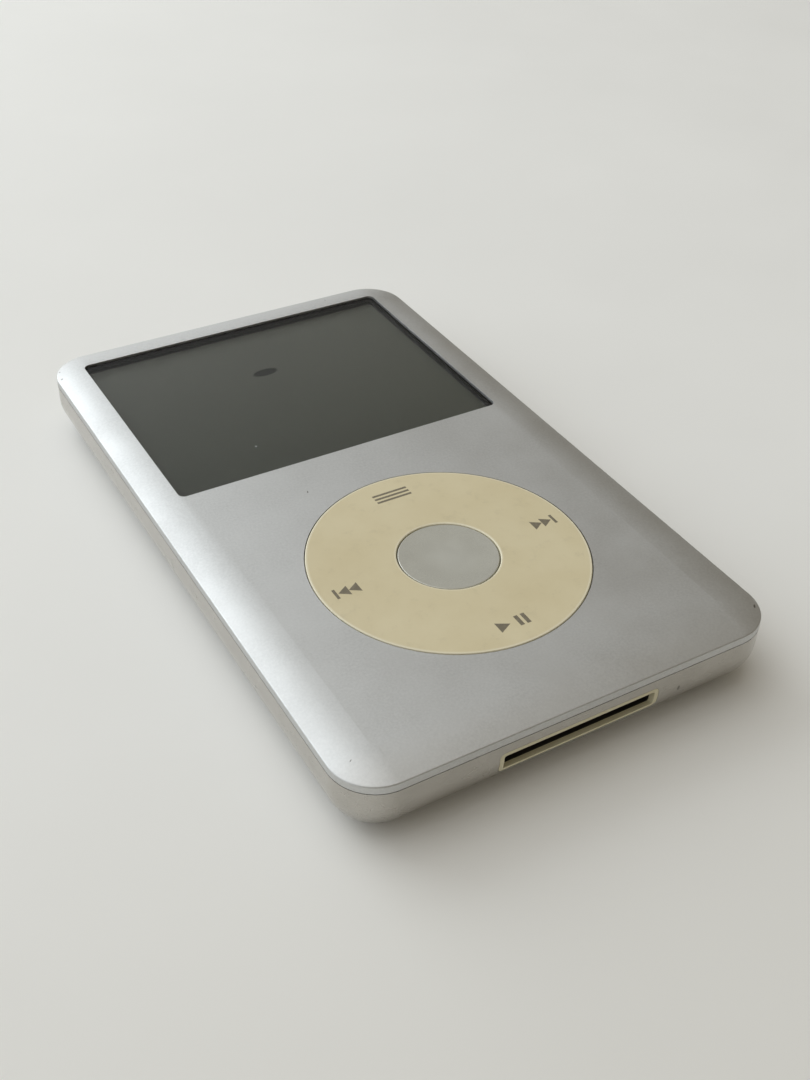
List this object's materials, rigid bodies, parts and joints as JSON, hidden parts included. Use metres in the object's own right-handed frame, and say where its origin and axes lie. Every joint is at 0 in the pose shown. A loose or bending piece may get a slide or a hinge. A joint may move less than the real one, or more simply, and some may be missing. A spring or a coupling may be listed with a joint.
{
  "type": "digital audio player",
  "caption": "Pocket hard-drive audio player with a display, a rocking touch wheel, a centre button, a dock slot, a headphone socket and a hold switch.",
  "frame": {"origin": "centre of the flat back, with the player lying on it", "axes": "+Z out of the front face, +Y towards the display end, +X to the right seen from the front"},
  "size_m": [0.0618, 0.1036, 0.0106],
  "materials": {
    "polished_steel": "polished pressed steel with fine scuffs",
    "anodised_panel": "fine bead-blasted, silver anodised",
    "black_plastic": "moulded, dark",
    "spring_steel": "thin rolled sheet",
    "screw_steel": "small machined screws",
    "ivory_plastic": "moulded, aged ivory",
    "clear_pane": "clear polished pane",
    "black_foam": "thin adhesive foam",
    "white_plastic": "moulded, white",
    "display_cell": "unlit display cell, grey-green",
    "amber_flex": "polyimide flexible circuit",
    "board_laminate": "circuit board, green mask",
    "chip_resin": "moulded epoxy",
    "capacitor_ceramic": "fired ceramic with tinned ends",
    "contact_gold": "gold-plated spring metal",
    "cell_wrap": "foil pouch",
    "cast_alloy": "die-cast alloy",
    "drive_lid_steel": "stamped steel lid",
    "nickel_plate": "nickel-plated magnets",
    "blue_rubber": "soft moulded rubber",
    "wheel_cream": "moulded, aged cream, fine satin",
    "button_silver": "painted silver, satin",
    "disc_mirror": "sputtered magnetic disc",
    "copper_coil": "wound enamelled copper"
  },
  "bodies": {
    "casing": {"rear_case": "polished_steel", "front_panel": "anodised_panel", "mid_frame": "black_plastic", "clip_strips": "spring_steel", "panel_screws": "screw_steel", "dock_bezel": "ivory_plastic", "jack_bezel": "ivory_plastic", "hold_bezel": "ivory_plastic", "display_window": "clear_pane", "window_gasket": "black_foam", "lcd_frame": "spring_steel", "lcd_backlight": "white_plastic", "lcd_panel": "display_cell", "lcd_flex": "amber_flex", "wheel_base_plate": "spring_steel", "wheel_plate_screws": "screw_steel", "menu_play_domes": "spring_steel", "centre_dome": "spring_steel", "wheel_flex": "amber_flex", "logic_board": "board_laminate", "board_chips": "chip_resin", "board_capacitors": "capacitor_ceramic", "shield_can": "spring_steel", "board_sockets": "white_plastic", "piezo_sounder": "contact_gold", "dock_housing": "black_plastic", "dock_contacts": "contact_gold", "dock_sleeve": "spring_steel", "battery": "cell_wrap", "battery_pad": "black_foam", "battery_lead": "amber_flex", "battery_plug": "white_plastic", "headphone_socket": "black_plastic", "socket_springs": "contact_gold", "hold_switch_body": "black_plastic", "audio_flex": "amber_flex", "drive_base": "cast_alloy", "drive_cover": "drive_lid_steel", "drive_screws": "screw_steel", "drive_circuit_board": "board_laminate", "drive_motor": "spring_steel", "drive_pivot_post": "screw_steel", "drive_magnets": "nickel_plate", "drive_park_ramp": "black_plastic", "drive_bumpers": "blue_rubber", "drive_pad": "black_foam", "drive_ribbon": "amber_flex"},
    "rocker": {"wheel_rocker_ring": "spring_steel", "previous_next_domes": "spring_steel"},
    "wheel": {"touch_wheel": "wheel_cream", "wheel_sensor_board": "board_laminate"},
    "button": {"centre_button": "button_silver"},
    "hold": {"hold_slider": "ivory_plastic", "hold_wiper": "contact_gold"},
    "platter": {"drive_platter": "disc_mirror", "drive_hub": "cast_alloy", "drive_clamp": "cast_alloy"},
    "arm": {"drive_arm": "cast_alloy", "drive_coil": "copper_coil", "drive_head": "chip_resin"}
  },
  "joints": [
    {"name": "wheel_tilt_menu_play", "type": "hinge", "parent": "casing", "child": "rocker", "pos_m": [0, -0.0212, 0.00804], "axis": [1, 0, 0], "range_deg": [-0.65, 0.65], "stiffness_Nm_per_rad": 0.02, "deforming": ["menu_play_domes"]},
    {"name": "wheel_tilt_previous_next", "type": "hinge", "parent": "rocker", "child": "wheel", "pos_m": [0, -0.0212, 0.00874], "axis": [0, 1, 0], "range_deg": [-0.65, 0.65], "stiffness_Nm_per_rad": 0.02, "deforming": ["previous_next_domes"]},
    {"name": "centre_button_press", "type": "slide", "parent": "casing", "child": "button", "axis": [0, 0, -1], "range_m": [0, 0.00025], "stiffness_N_per_m": 100, "springref_m": -0.0004, "deforming": ["centre_dome"]},
    {"name": "hold_slide", "type": "slide", "parent": "casing", "child": "hold", "axis": [1, 0, 0], "range_m": [0, 0.0024]},
    {"name": "platter_spin", "type": "hinge", "parent": "casing", "child": "platter", "pos_m": [0, 0.0025, 0.0041], "axis": [0, 0, 1], "continuous": true},
    {"name": "arm_swing", "type": "hinge", "parent": "casing", "child": "arm", "pos_m": [0.012, -0.029, 0.0045], "axis": [0, 0, 1], "range_deg": [-29.5, 0]}
  ]
}
